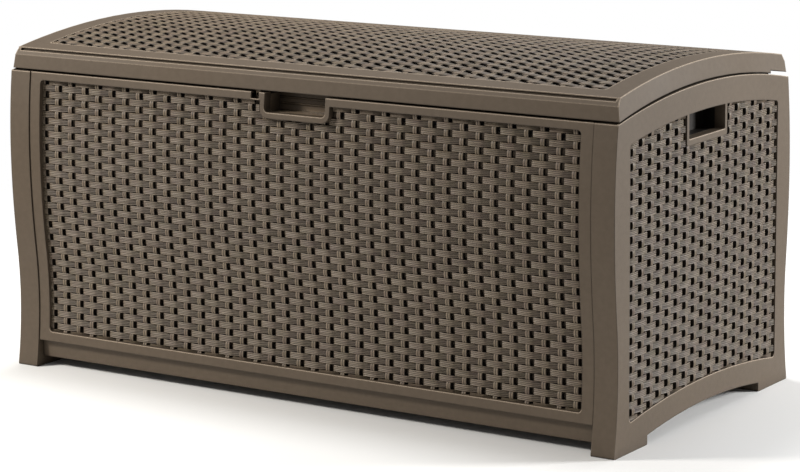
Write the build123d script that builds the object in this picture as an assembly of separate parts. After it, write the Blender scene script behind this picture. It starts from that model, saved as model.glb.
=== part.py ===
from build123d import *
import math
import os

# Deck storage box in moulded resin. Millimetres, +Z up.
# The origin is on the ground, under the middle of the box. The front faces -Y.

# ---- Overall sizes ----
HALF_WIDTH = 690.0
POST_WIDTH = 48.0
PANEL_TOP = 600.0          # top of the side panels at the front and rear corners
SIDE_CREST = 634.0         # top of the side panels in the middle
FOOT_HALF_DEPTH = 345.0
WAIST_HEIGHT = 155.0
WAIST_HALF_DEPTH = 331.0
BULGE_HEIGHT = 426.0
BULGE_HALF_DEPTH = 345.0
TOP_HALF_DEPTH = 333.3

# ---- Walls ----
SKIN = 4.0                 # thickness of a moulded wall
PANEL_DEPTH = 22.0         # front to back of a double-walled panel
FRAME_STEP = 2.0           # how far the front panel sits behind its posts
FIELD_DEPTH = 16.0         # depth of the recess that holds the woven field
POST_DEPTH = 26.0
SEAM = 1.5                 # gap between a panel and its posts
CONTACT_GAP = 0.3          # gap between faces that bear on each other
CORNER_RADIUS = 8.0
PAST = 1.0                 # how far a cutting solid runs past the faces that it cuts

# ---- Front and rear panels ----
PANEL_HALF_WIDTH = HALF_WIDTH - POST_WIDTH - SEAM
FRAME_BOTTOM = 55.0
REAR_PANEL_TOP = 586.0
SKIRT_BOTTOM = 20.0
SKIRT_FACE = 323.0
FIELD_HALF_WIDTH = 616.0
FIELD_BOTTOM = 74.0
FRONT_FIELD_TOP = 585.0
REAR_FIELD_TOP = 562.0
RAIN_LIP_TOP = 604.0       # upstand behind the hinges that keeps rain out
FLANGE_BOTTOM = 67.0       # flanges behind the posts, where the panels are screwed together
FLANGE_ROOT = 32.0         # from a panel's end inward to its flange's root
FLANGE_REACH = 26.0        # from a panel's end outward to its flange's edge
FLANGE_FACE = POST_DEPTH + CONTACT_GAP

# ---- Side panels ----
FIELD_HALF_DEPTH = 290.0
SIDE_FIELD_TOP = 584.0
SIDE_FIELD_TOP_CORNER = 559.0
SIDE_FIELD_BOTTOM = 78.0
SIDE_FIELD_BOTTOM_CORNER = 55.0
ARCH_CREST = 33.5
ARCH_END_HEIGHT = 19.0
ARCH_HALF_SPAN = 214.0
FOOT_INNER = 222.0
FOOT_OUTER = 318.0
FOOT_FILLET = 3.0

# ---- Finger pull, in the front panel ----
PULL_HALF_WIDTH = 69.5
PULL_BOTTOM = 563.5
PULL_BORDER = 10.0
PULL_DEPTH = 54.0
CUP_WALL = 3.0
CUP_FLANGE = 14.0
CUP_SCREW_OFFSET = 9.0     # screws beside the openings, and below their bottoms
CUP_SCREW_DROP = 8.0
CUP_SCREW_LENGTH = 6.0
PULL_SCREW_RISE = 18.0
PULL_RIB_RISES = (12.0, 23.0)
PULL_RIB_RADIUS = 2.0

# ---- Hand-holds, in the side panels ----
HOLD_HALF_WIDTH = 70.5
HOLD_BOTTOM = 536.5
HOLD_BORDER_SIDE = 8.5
HOLD_BORDER_BOTTOM = 12.0
HOLD_DEPTH = 47.0
HOLD_SCREW_RISE = 40.0

# ---- Lid ----
LID_GAP = 3.0              # between the side panels and the lid above them
LID_CREST = 674.0
LID_EDGE_HEIGHT = 645.0
LID_EDGE_HALF_DEPTH = 316.0
LID_SKIRT_HALF_DEPTH = 329.0
LID_SHOULDER_HEIGHT = 631.0
LID_SHOULDER_HALF_DEPTH = 325.0
LID_TOP_HALF_WIDTH = 679.0
LID_TOP_DATUM = 676.0
LID_REAR_LEAN = 2.0        # how much further in the rear skirt's lower edge sits
LID_SHOULDER_WALL = 10.0   # thickness of the lid where its top meets its skirt
LID_FIELD_HALF_WIDTH = 634.0
LID_FIELD_HALF_DEPTH = 280.0
LID_FIELD_DEPTH = 8.0
LID_GROOVE_BOTTOM = 638.5
LID_GROOVE_TOP = 642.5
LID_GROOVE_DEPTH = 4.0
LID_GROOVE_END = 7.0       # from the lid's leaning side to the groove's end
REAR_RELIEF = 5.0
REAR_RELIEF_START = 262.0
LINER_HALF_WIDTH = 668.0
LINER_HALF_DEPTH = 302.0
LINER_CREST = 639.0
LINER_EDGE_HEIGHT = 608.0
LINER_RIB_HEIGHT = 6.0
LINER_RIB_WIDTH = 8.0
LINER_RIB_PITCH = 112.0
LINER_RIB_STEPS = 5        # ribs to each side of the middle one
LINER_LIP_X = 661.0        # lips that hang inside the side panels and keep rain out
LINER_LIP_HEIGHT = 11.0
LINER_WALL_BAYS = 6        # bays between the walls that stand up from the liner
LINER_SCREW_Y = 264.0
LINER_SCREW_STEPS = (-4.5, -2.5, -0.5, 0.5, 2.5, 4.5)
LINER_SCREW_LENGTH = 12.0
BOSS_RADIUS = 6.0          # screw bosses that hang from the shell to the liner

# ---- Floor ----
FLOOR_TOP = 48.0
FLOOR_HALF_DEPTH = 310.5
FLOOR_RIB_HEIGHT = 16.0
CROSS_RIB_PITCH = 145.0
CROSS_RIB_STEPS = 4
LONG_RIB_PITCH = 120.0
LONG_RIB_STEPS = 2
LONG_RIB_HALF_LENGTH = 600.0
LEDGE_INNER = 296.0

# ---- Hinges ----
HINGE_Y = 324.0
HINGE_Z = 598.0
HINGE_PLACES = {"left": -480.0, "centre": 0.0, "right": 480.0}
HINGE_HALF_LENGTH = 38.0
KNUCKLE_RADIUS = 6.5
KNUCKLE_HALF_LENGTH = 18.0
KNUCKLE_GAP = 0.6
PIN_RADIUS = 3.0
PIN_CLEARANCE = 0.06
PIN_END = 1.0              # how far a pin stands out of its knuckles
PIN_HEAD_LENGTH = 2.5
PIN_HEAD_RADIUS = 4.8
HINGE_BOSS_HALF_LENGTH = 60.0
HINGE_BOSS_HEIGHT = 18.0
HINGE_BASE_HALF_LENGTH = 54.0
HINGE_BASE_FRONT = HINGE_Y - 10.0
HINGE_BASE_HALF_DEPTH = 5.0
HINGE_SCREW_SPACING = 8.0  # from a base's knuckles to its screws
HINGE_SCREW_Y = HINGE_Y - 4.0
HINGE_SCREW_LENGTH = 10.0
LEAF_NECK_RISE = 11.0
LEAF_PLATE_HALF_LENGTH = 38.0
LEAF_PLATE_LOW = HINGE_Z + 9.5
LEAF_PLATE_HIGH = HINGE_Z + 28.0
LEAF_SCREW_X = 26.0
LEAF_SCREW_Z = HINGE_Z + 20.0
LEAF_SCREW_LENGTH = 5.0

# ---- Lid stays ----
STAY_X = 622.0             # plane of each gas stay
STAY_BASE = (266.0, 548.0)
STAY_LID = (78.0, 592.0)
STAY_TUBE_RADIUS = 9.0
STAY_ROD_RADIUS = 4.0
SOCKET_RADIUS = 8.0
SOCKET_NECK_RADIUS = 6.0
STUD_RADIUS = 4.0
STUD_COLLAR_RADIUS = 7.0
STUD_END_X = STAY_X + 1.0
STUD_BORE_X = STAY_X + 0.8
SOCKET_SIDE_X = STAY_X + SOCKET_RADIUS + 0.5
TUBE_START = 18.0          # distances along a stay from its lower pivot
TUBE_BORE_START = 24.0
ROD_START = 26.0
TUBE_END_MARGIN = 30.0     # distances along a stay back from its upper pivot
UPPER_NECK_START = 18.0
ROD_END_MARGIN = 12.0
STAY_BASE_HALF_WIDTH = 13.0
STAY_BASE_HALF_HEIGHT = 18.0
STAY_BASE_SCREW_Z = 12.5
STAY_BASE_SCREW_LENGTH = 7.0
STAY_PLATE_X = STAY_X + 22.0
STAY_PLATE_HALF_WIDTH = 12.0
STAY_PLATE_HALF_LENGTH = 22.0
STAY_PLATE_SCREW_X = STAY_X + 24.0
STAY_PLATE_SCREW_Y = 14.0
STAY_PLATE_SCREW_LENGTH = 12.0
STAY_ARM_HALF_SIZE = 9.0

# ---- Screws and lock tab ----
SCREW_RADIUS = 2.0
SCREW_HEAD_RADIUS = 4.5
SCREW_HEAD_HEIGHT = 2.5
SCREW_CLEARANCE = 0.2
SCREW_SEAT_GAP = 0.7       # between a flat screw head and the curved wall under it
POST_SCREW_X = 654.0
POST_SCREW_HEIGHTS = (110.0, 260.0, 410.0, 555.0)
LOCK_TAB_FACE = 320.6
NOTCH_LEFT = -101.0
NOTCH_RIGHT = -82.5
NOTCH_BOTTOM = 587.5
LOCK_TAB_MARGIN = 4.0
LOCK_TAB_TOP = 623.0
LOCK_HOLE_RISE = 7.0
LOCK_HOLE_RADIUS = 3.5
LOCK_WEB_LOW = 612.0
LOCK_WEB_HIGH = 616.0


def arc_radius(half_chord, rise):
    """Radius of the arc that rises by `rise` over `half_chord`."""
    return (half_chord ** 2 + rise ** 2) / (2 * rise)


def arc_drop(radius, distance):
    """How far an arc falls below its crest at a distance from it."""
    return radius - math.sqrt(radius ** 2 - distance ** 2)


# The front and rear edges of the box are three arcs: a waist, and a bulge in two parts.
BEND_SLOPE = 2 * (BULGE_HALF_DEPTH - WAIST_HALF_DEPTH) / (BULGE_HEIGHT - WAIST_HEIGHT)
WAIST_RADIUS = arc_radius(WAIST_HEIGHT, FOOT_HALF_DEPTH - WAIST_HALF_DEPTH)
BEND_HEIGHT = WAIST_HEIGHT + WAIST_RADIUS * math.sin(math.atan(BEND_SLOPE))
LOWER_BULGE_RADIUS = arc_radius(
    BULGE_HEIGHT - BEND_HEIGHT,
    BULGE_HALF_DEPTH - WAIST_HALF_DEPTH - arc_drop(WAIST_RADIUS, BEND_HEIGHT - WAIST_HEIGHT),
)
UPPER_BULGE_RADIUS = arc_radius(PANEL_TOP - BULGE_HEIGHT, BULGE_HALF_DEPTH - TOP_HALF_DEPTH)


def half_depth(z):
    """Distance from the middle of the box to its front or rear edge at height z."""
    if z < BEND_HEIGHT:
        return WAIST_HALF_DEPTH + arc_drop(WAIST_RADIUS, z - WAIST_HEIGHT)
    radius = LOWER_BULGE_RADIUS if z < BULGE_HEIGHT else UPPER_BULGE_RADIUS
    return BULGE_HALF_DEPTH - arc_drop(radius, z - BULGE_HEIGHT)


# ---- Basic solids ----
def block(x_low, x_high, y_low, y_high, z_low, z_high):
    size = (x_high - x_low, y_high - y_low, z_high - z_low)
    centre = ((x_low + x_high) / 2, (y_low + y_high) / 2, (z_low + z_high) / 2)
    return Pos(*centre) * Box(*size)


def rod(start, end, radius):
    """A round bar between two points."""
    path = Line(start, end)
    return extrude(Plane(origin=start, z_dir=path % 0) * Circle(radius), path.length)


def prism_x(edges, x_low, x_high):
    """A closed outline in the YZ plane, drawn out along X."""
    outline = make_face(edges)
    return Pos(x_low, 0, 0) * extrude(outline, x_high - x_low, dir=(1, 0, 0))


def edge_arcs(offset, z_low, z_high, side):
    """The curved edge, moved inward by an offset, between two heights."""
    stops = [z_low] + [z for z in (BEND_HEIGHT, BULGE_HEIGHT) if z_low < z < z_high] + [z_high]
    arcs = []
    for start, end in zip(stops, stops[1:]):
        heights = (start, (start + end) / 2, end)
        arcs.append(ThreePointArc(*[(0, side * (half_depth(z) - offset), z) for z in heights]))
    return arcs


def curved_wall(outer, inner, x_low, x_high, z_low, z_high, side):
    """A wall that follows the curved edge, between two offsets from it."""
    edges = edge_arcs(outer, z_low, z_high, side) + edge_arcs(inner, z_low, z_high, side)
    for z in (z_low, z_high):
        ends = [(0, side * (half_depth(z) - offset), z) for offset in (outer, inner)]
        edges.append(Line(*ends))
    return prism_x(edges, x_low, x_high)


def upright_prism(half_width, z_low, z_high, radius):
    """A rounded rectangle in the XZ plane, drawn out through the whole depth."""
    middle = (z_low + z_high) / 2
    plane = Plane(origin=(0, FOOT_HALF_DEPTH + SKIN, middle), x_dir=(1, 0, 0), z_dir=(0, -1, 0))
    outline = plane * RectangleRounded(2 * half_width, z_high - z_low, radius)
    return extrude(outline, 2 * (FOOT_HALF_DEPTH + SKIN))


def under_arc(crest, edge_height, reach, x_low, x_high, floor_height, shift=0.0):
    """Everything under an arched surface that is edge_height high at +-reach."""
    radius = arc_radius(reach, crest - edge_height)
    limit = FOOT_HALF_DEPTH + SKIN
    side_height = crest - arc_drop(radius, limit) + shift
    left, right = (0, -limit, side_height), (0, limit, side_height)
    low_left, low_right = (0, -limit, floor_height), (0, limit, floor_height)
    edges = [
        ThreePointArc(left, (0, 0, crest + shift), right),
        Line(right, low_right),
        Line(low_right, low_left),
        Line(low_left, left),
    ]
    return prism_x(edges, x_low, x_high)


def screw(place, direction, length):
    """A pan-head screw whose head bears at `place` and whose shank goes along `direction`."""
    plane = Plane(origin=place, z_dir=direction)
    head = extrude(plane * Circle(SCREW_HEAD_RADIUS), -SCREW_HEAD_HEIGHT)
    head = fillet(head.faces().sort_by(Axis(place, direction))[0].edges(), SCREW_HEAD_HEIGHT / 2)
    shank = extrude(plane * Circle(SCREW_RADIUS), length)
    drive = extrude(plane.offset(-SCREW_HEAD_HEIGHT) * Circle(SCREW_RADIUS), SCREW_HEAD_HEIGHT / 2)
    return head + shank - drive


def screw_hole(place, direction, length):
    """The hole that leaves a screw's shank clear."""
    plane = Plane(origin=place, z_dir=direction)
    hole = Circle(SCREW_RADIUS + SCREW_CLEARANCE)
    return extrude(plane.offset(-SKIN) * hole, length + SKIN + SCREW_CLEARANCE)


def cut_holes(body, screws):
    """Cuts a hole for each (place, direction, length) in a list."""
    for place, direction, length in screws:
        body = body - screw_hole(place, direction, length)
    return body


def save(name, *solids):
    shapes = []
    for solid in solids:
        shapes.extend(solid.solids())
    export_step(shapes[0] if len(shapes) == 1 else Compound(shapes), f"parts/{name}.step")


# ---- Places that several pieces share ----
def corner_screws(side):
    """Screws that hold a front or rear panel's flanges to the posts."""
    face = FLANGE_FACE + SKIN + SCREW_SEAT_GAP
    screws = []
    for x in (-POST_SCREW_X, POST_SCREW_X):
        for z in POST_SCREW_HEIGHTS:
            place = (x, side * (half_depth(z) - face), z)
            screws.append((place, (0, side, 0), 2 * SKIN))
    return screws


def pull_cup_screws():
    screws = []
    reach = PULL_HALF_WIDTH + CUP_SCREW_OFFSET
    for x in (-reach, reach):
        for z in (PULL_BOTTOM - CUP_SCREW_DROP, PULL_BOTTOM + PULL_SCREW_RISE):
            y = -(half_depth(z) - PANEL_DEPTH - SKIN - SCREW_SEAT_GAP)
            screws.append(((x, y, z), (0, -1, 0), CUP_SCREW_LENGTH))
    return screws


def hold_screws(side):
    screws = []
    reach = HOLD_HALF_WIDTH + CUP_SCREW_OFFSET
    for y in (-reach, reach):
        for z in (HOLD_BOTTOM - CUP_SCREW_DROP, HOLD_BOTTOM + HOLD_SCREW_RISE):
            x = side * (HALF_WIDTH - PANEL_DEPTH - SKIN)
            screws.append(((x, y, z), (side, 0, 0), CUP_SCREW_LENGTH))
    return screws


def hinge_base_screws(x):
    reach = HINGE_HALF_LENGTH + HINGE_SCREW_SPACING
    places = [(x + hand * reach, HINGE_SCREW_Y, REAR_PANEL_TOP + SKIN) for hand in (-1, 1)]
    return [(place, (0, 0, -1), HINGE_SCREW_LENGTH) for place in places]


def hinge_leaf_screws(x):
    face = HINGE_Y - KNUCKLE_RADIUS
    places = [(x + hand * LEAF_SCREW_X, face, LEAF_SCREW_Z) for hand in (-1, 1)]
    return [(place, (0, 1, 0), LEAF_SCREW_LENGTH) for place in places]


def liner_underside(y):
    radius = arc_radius(LINER_HALF_DEPTH, LINER_CREST - LINER_EDGE_HEIGHT)
    return LINER_CREST - arc_drop(radius, abs(y))


def liner_screws():
    screws = []
    for step in LINER_SCREW_STEPS:
        x = step * LINER_RIB_PITCH
        for y in (-LINER_SCREW_Y, 0.0, LINER_SCREW_Y):
            place = (x, y, liner_underside(abs(y) + SCREW_HEAD_RADIUS))
            screws.append((place, (0, 0, 1), LINER_SCREW_LENGTH))
    return screws


# ---- Box panels ----
def cross_panel(side, top, field_top):
    """The part that the front and rear panels share: frame, woven field's recess and skirt."""
    width = PANEL_HALF_WIDTH
    body = curved_wall(FRAME_STEP, PANEL_DEPTH, -width, width, FRAME_BOTTOM, top, side)
    field = upright_prism(FIELD_HALF_WIDTH, FIELD_BOTTOM, field_top, CORNER_RADIUS)
    recess = curved_wall(-SKIN, FRAME_STEP + FIELD_DEPTH, -width, width, FRAME_BOTTOM, top, side)
    hollow = curved_wall(
        FRAME_STEP + SKIN, PANEL_DEPTH + PAST, -width + SKIN, width - SKIN,
        FRAME_BOTTOM + SKIN, top - SKIN, side,
    )
    field_wall = upright_prism(
        FIELD_HALF_WIDTH + SKIN, FIELD_BOTTOM - SKIN, field_top + SKIN, CORNER_RADIUS + SKIN)
    body = body - (hollow - field_wall)
    skirt = block(-width, width, SKIRT_FACE - SKIN, SKIRT_FACE, SKIRT_BOTTOM, FRAME_BOTTOM + SKIN)
    ledge = block(-width + SKIN, width - SKIN, LEDGE_INNER, SKIRT_FACE - SKIN,
                  FLOOR_TOP - 2 * SKIN, FLOOR_TOP - SKIN)
    base = skirt + ledge
    if side < 0:
        base = mirror(base, Plane.XZ)
    body = body + base
    for hand in (-1, 1):
        root, end, edge = [hand * reach for reach in (width - FLANGE_ROOT, width, width + FLANGE_REACH)]
        body += curved_wall(PANEL_DEPTH - SKIN, FLANGE_FACE + SKIN, min(root, end), max(root, end),
                            FLANGE_BOTTOM, REAR_FIELD_TOP, side)
        body += curved_wall(FLANGE_FACE, FLANGE_FACE + SKIN, min(root, edge), max(root, edge),
                            FLANGE_BOTTOM, REAR_FIELD_TOP, side)
    return cut_holes(body, corner_screws(side)), field & recess


def make_front_panel():
    body, recess = cross_panel(-1, PANEL_TOP, FRONT_FIELD_TOP)
    above = SIDE_CREST
    border_width = PULL_HALF_WIDTH + PULL_BORDER
    border_bottom = PULL_BOTTOM - PULL_BORDER - PAST
    border = upright_prism(border_width, border_bottom, above, CORNER_RADIUS + PULL_BORDER)
    opening = upright_prism(PULL_HALF_WIDTH, PULL_BOTTOM, above, CORNER_RADIUS)
    front_half = block(-HALF_WIDTH, HALF_WIDTH, -FOOT_HALF_DEPTH - SKIN, -LEDGE_INNER, 0, above)
    surround = curved_wall(FRAME_STEP, PANEL_DEPTH, -border_width, border_width,
                           border_bottom - PULL_BORDER, PANEL_TOP, -1)
    body = body - (recess - border) + (surround & border) - (opening & front_half)
    notch_back = TOP_HALF_DEPTH - PANEL_DEPTH + SKIN
    notch = block(NOTCH_LEFT, NOTCH_RIGHT, -FOOT_HALF_DEPTH, -notch_back, NOTCH_BOTTOM, above)
    return cut_holes(body - notch, pull_cup_screws())


def make_rear_panel():
    body, recess = cross_panel(1, REAR_PANEL_TOP, REAR_FIELD_TOP)
    body = body - recess
    lip_back = half_depth(REAR_PANEL_TOP) - PANEL_DEPTH
    body += block(-PANEL_HALF_WIDTH, PANEL_HALF_WIDTH, lip_back - SKIN, lip_back,
                  REAR_PANEL_TOP - 2 * SKIN, RAIN_LIP_TOP)
    body += block(-PANEL_HALF_WIDTH, PANEL_HALF_WIDTH, lip_back - SKIN, lip_back + SKIN,
                  REAR_PANEL_TOP - 2 * SKIN, REAR_PANEL_TOP)
    for x in HINGE_PLACES.values():
        reach = HINGE_BOSS_HALF_LENGTH
        body += block(x - reach, x + reach, HINGE_BASE_FRONT, HINGE_Y + HINGE_BASE_HALF_DEPTH + PAST,
                      REAR_PANEL_TOP - HINGE_BOSS_HEIGHT, REAR_PANEL_TOP)
        body = cut_holes(body, hinge_base_screws(x))
    return body


def side_outline(x_low, x_high):
    """The whole outline of a side panel: curved edges, arched top, two feet and a low arch."""
    body = curved_wall(0, FOOT_HALF_DEPTH / 2, x_low, x_high, 0, PANEL_TOP, 1)
    body += curved_wall(0, FOOT_HALF_DEPTH / 2, x_low, x_high, 0, PANEL_TOP, -1)
    middle = FOOT_HALF_DEPTH / 2 + CORNER_RADIUS
    body += block(x_low, x_high, -middle, middle, 0, PANEL_TOP)
    cap = under_arc(SIDE_CREST, PANEL_TOP, TOP_HALF_DEPTH, x_low, x_high, PANEL_TOP - SKIN)
    cap &= block(x_low, x_high, -TOP_HALF_DEPTH, TOP_HALF_DEPTH, PANEL_TOP - SKIN, SIDE_CREST)
    body += cap
    arch = under_arc(ARCH_CREST, ARCH_END_HEIGHT, ARCH_HALF_SPAN, x_low, x_high, -SKIN)
    arch &= block(x_low, x_high, -FOOT_INNER, FOOT_INNER, -SKIN, ARCH_CREST)
    return body - arch


def side_field(x_low, x_high, grow=0.0):
    """The outline of a side panel's woven field, with arched top and bottom."""
    reach = FIELD_HALF_DEPTH + grow
    field = under_arc(SIDE_FIELD_TOP, SIDE_FIELD_TOP_CORNER, FIELD_HALF_DEPTH, x_low, x_high, 0, grow)
    field &= block(x_low, x_high, -reach, reach, 0, SIDE_FIELD_TOP + grow)
    field -= under_arc(SIDE_FIELD_BOTTOM, SIDE_FIELD_BOTTOM_CORNER, FIELD_HALF_DEPTH,
                       x_low, x_high, -SKIN, -grow)
    corners = field.edges().filter_by(Axis.X)
    return fillet(corners, CORNER_RADIUS + grow)


def hold_prism(x_low, x_high, side_grow, bottom_grow):
    """The hand-hold's outline, grown at its ends and at its bottom, and open at the top."""
    reach = HOLD_HALF_WIDTH + side_grow
    prism = block(x_low, x_high, -reach, reach, HOLD_BOTTOM - bottom_grow, SIDE_CREST)
    lower = prism.edges().filter_by(Axis.X).group_by(Axis.Z)[0]
    return fillet(lower, 1.0 + side_grow / 2)


def make_right_side_panel():
    outer = HALF_WIDTH
    inner = HALF_WIDTH - PANEL_DEPTH
    inside, outside = inner - PAST, outer + PAST
    back_of_skin = outer - SKIN
    body = side_outline(inner, outer)
    trough_reach = TOP_HALF_DEPTH - POST_DEPTH + PAST
    trough = side_outline(inside, back_of_skin)
    trough &= block(inside, back_of_skin, -trough_reach, trough_reach, ARCH_CREST + SKIN,
                    PANEL_TOP - 2 * SKIN)
    body -= trough - side_field(inside, outer, SKIN)
    border = hold_prism(inside, outside, HOLD_BORDER_SIDE, HOLD_BORDER_BOTTOM)
    body -= side_field(outer - FIELD_DEPTH - FRAME_STEP, outside) - border
    body -= hold_prism(inside, outside, 0, 0) & side_field(inside, outside)
    post_inner = outer - POST_WIDTH
    for side, top in ((-1, PANEL_TOP), (1, REAR_PANEL_TOP)):
        post = curved_wall(0, POST_DEPTH, post_inner, back_of_skin, 0, top, side)
        core = curved_wall(SKIN, POST_DEPTH - SKIN, post_inner + SKIN, back_of_skin,
                           FRAME_BOTTOM, top - SKIN, side)
        above = block(inside, back_of_skin, *sorted((side * LEDGE_INNER, side * FOOT_HALF_DEPTH)),
                      top, SIDE_CREST)
        foot = block(post_inner, back_of_skin, *sorted((side * FOOT_INNER, side * FOOT_OUTER)),
                     0, FRAME_BOTTOM - 3 * SKIN)
        body = body - above + foot + post - core
    feet = body.edges().filter_by(Axis.X).group_by(Axis.Z)[0]
    body = fillet(feet, FOOT_FILLET)
    screws = corner_screws(-1) + corner_screws(1) + hold_screws(1) + stay_base_screws()
    return cut_holes(body, [hole for hole in screws if hole[0][0] > 0])


def make_floor_panel():
    half_width = HALF_WIDTH - PANEL_DEPTH - SEAM
    body = block(-half_width, half_width, -FLOOR_HALF_DEPTH, FLOOR_HALF_DEPTH,
                 FLOOR_TOP - SKIN, FLOOR_TOP)
    rib_bottom = FLOOR_TOP - SKIN - FLOOR_RIB_HEIGHT
    rib_reach = LEDGE_INNER - 2 * SKIN
    for step in range(-CROSS_RIB_STEPS, CROSS_RIB_STEPS + 1):
        x = step * CROSS_RIB_PITCH
        body += block(x - SKIN / 2, x + SKIN / 2, -rib_reach, rib_reach, rib_bottom, FLOOR_TOP - SKIN)
    for step in range(-LONG_RIB_STEPS, LONG_RIB_STEPS + 1):
        y = step * LONG_RIB_PITCH
        body += block(-LONG_RIB_HALF_LENGTH, LONG_RIB_HALF_LENGTH, y - SKIN / 2, y + SKIN / 2,
                      rib_bottom, FLOOR_TOP - SKIN)
    return body


# ---- Cups ----
def make_front_pull_cup():
    start = PANEL_DEPTH + CONTACT_GAP / 3
    width = PULL_HALF_WIDTH
    top = PANEL_TOP - SKIN
    cup = curved_wall(start, PULL_DEPTH + CUP_WALL, -width - CUP_WALL, width + CUP_WALL,
                      PULL_BOTTOM - CUP_WALL, top, -1)
    cup += curved_wall(start, PANEL_DEPTH + SKIN, -width - CUP_FLANGE, width + CUP_FLANGE,
                       PULL_BOTTOM - CUP_FLANGE, top, -1)
    cup -= curved_wall(start - SKIN, PULL_DEPTH, -width, width, PULL_BOTTOM, PANEL_TOP, -1)
    for rise in PULL_RIB_RISES:
        z = PULL_BOTTOM + rise
        y = PULL_DEPTH - half_depth(z)
        cup += rod((-width, y, z), (width, y, z), PULL_RIB_RADIUS)
    return cut_holes(cup, pull_cup_screws())


def make_right_hand_hold():
    face = HALF_WIDTH - PANEL_DEPTH - CONTACT_GAP / 3
    back = HALF_WIDTH - HOLD_DEPTH
    width = HOLD_HALF_WIDTH
    top = SIDE_FIELD_TOP
    cup = block(back - CUP_WALL, face, -width - CUP_WALL, width + CUP_WALL,
                HOLD_BOTTOM - CUP_WALL, top + CUP_WALL)
    cup += block(HALF_WIDTH - PANEL_DEPTH - SKIN, face, -width - CUP_FLANGE, width + CUP_FLANGE,
                 HOLD_BOTTOM - CUP_FLANGE, top + CUP_WALL)
    cup -= block(back, HALF_WIDTH, -width, width, HOLD_BOTTOM, top)
    return cut_holes(cup, hold_screws(1))


# ---- Lid ----
def lid_side_x(z):
    """Half width of the lid at height z: its sides lean in."""
    lean = (HALF_WIDTH - LID_TOP_HALF_WIDTH) / (LID_TOP_DATUM - PANEL_TOP)
    return HALF_WIDTH - lean * (z - PANEL_TOP)


def lid_section_prism(inset):
    """The lid's cross-section across X, with leaning sides, drawn out along Y."""
    low, high = PANEL_TOP - SKIN, LID_TOP_DATUM + SKIN
    points = [
        (lid_side_x(low) - inset, low),
        (lid_side_x(high) - inset, high),
        (-lid_side_x(high) + inset, high),
        (-lid_side_x(low) + inset, low),
    ]
    plane = Plane(origin=(0, FOOT_HALF_DEPTH, 0), x_dir=(1, 0, 0), z_dir=(0, -1, 0))
    return extrude(plane * make_face(Polyline(*points, close=True)), 2 * FOOT_HALF_DEPTH)


def lid_crown(offset, x_reach=HALF_WIDTH):
    """Everything under the lid's crowned top, lowered by an offset."""
    return under_arc(LID_CREST, LID_EDGE_HEIGHT, LID_EDGE_HALF_DEPTH, -x_reach, x_reach,
                     PANEL_TOP - SKIN, -offset)


def lid_boss(x, y):
    """A round boss between the underside of the shell's top and the liner."""
    low = liner_underside(abs(y) - BOSS_RADIUS) + SKIN + CONTACT_GAP
    boss = rod((x, y, low), (x, y, LID_CREST), BOSS_RADIUS)
    return boss & lid_crown(LID_FIELD_DEPTH + SKIN / 2)


def over_side_panels(gap):
    """Everything under the side panels' arched tops, raised by a gap."""
    return under_arc(SIDE_CREST, PANEL_TOP, TOP_HALF_DEPTH, -HALF_WIDTH, HALF_WIDTH, 0, gap)


def make_lid_shell():
    bottom = PANEL_TOP - SKIN
    points = [
        (0, -LID_SKIRT_HALF_DEPTH, bottom),
        (0, -LID_SHOULDER_HALF_DEPTH, LID_SHOULDER_HEIGHT),
        (0, -LID_EDGE_HALF_DEPTH - SKIN, LID_GROOVE_BOTTOM),
        (0, -LID_EDGE_HALF_DEPTH, LID_GROOVE_TOP),
        (0, -LID_EDGE_HALF_DEPTH, LID_TOP_DATUM),
        (0, LID_EDGE_HALF_DEPTH, LID_TOP_DATUM),
        (0, LID_EDGE_HALF_DEPTH, LID_EDGE_HEIGHT),
        (0, LID_SHOULDER_HALF_DEPTH, LID_SHOULDER_HEIGHT),
        (0, LID_SKIRT_HALF_DEPTH - LID_REAR_LEAN, bottom),
    ]
    body = prism_x([Polyline(*points, close=True)], -HALF_WIDTH, HALF_WIDTH)
    body = body & lid_crown(0) & lid_section_prism(0)
    shoulder = LID_EDGE_HALF_DEPTH - LID_SHOULDER_WALL
    inner = lid_crown(LID_FIELD_DEPTH + SKIN) & lid_section_prism(SKIN)
    upper = block(-HALF_WIDTH, HALF_WIDTH, -shoulder, shoulder, bottom, LID_CREST)
    wall = LID_SHOULDER_HALF_DEPTH - SKIN
    lower = block(-HALF_WIDTH, HALF_WIDTH, -wall, wall, bottom, LID_SHOULDER_HEIGHT - SKIN)
    body -= inner & (upper + lower)
    field = RectangleRounded(2 * LID_FIELD_HALF_WIDTH, 2 * LID_FIELD_HALF_DEPTH, CORNER_RADIUS)
    pocket = extrude(Pos(0, 0, bottom) * field, LID_CREST - bottom)
    body -= pocket - lid_crown(LID_FIELD_DEPTH)
    groove_reach = lid_side_x(LID_GROOVE_TOP) - LID_GROOVE_END
    body -= block(-groove_reach, groove_reach, -LID_SHOULDER_HALF_DEPTH,
                  LID_GROOVE_DEPTH - LID_EDGE_HALF_DEPTH, LID_GROOVE_BOTTOM, LID_GROOVE_TOP)
    body -= over_side_panels(LID_GAP)
    body -= over_side_panels(LID_GAP + REAR_RELIEF) & block(
        -HALF_WIDTH, HALF_WIDTH, REAR_RELIEF_START, FOOT_HALF_DEPTH, 0, LID_CREST)
    upward_screws = liner_screws() + stay_lid_screws()
    for place, _, _ in upward_screws:
        body += lid_boss(place[0], place[1])
    body = cut_holes(body, upward_screws)
    for x in HINGE_PLACES.values():
        body = cut_holes(body, hinge_leaf_screws(x))
    return body


def under_liner(shift):
    """Everything under the liner's arched underside, raised by a shift."""
    return under_arc(LINER_CREST, LINER_EDGE_HEIGHT, LINER_HALF_DEPTH,
                     -LINER_HALF_WIDTH, LINER_HALF_WIDTH, 0, shift)


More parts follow.
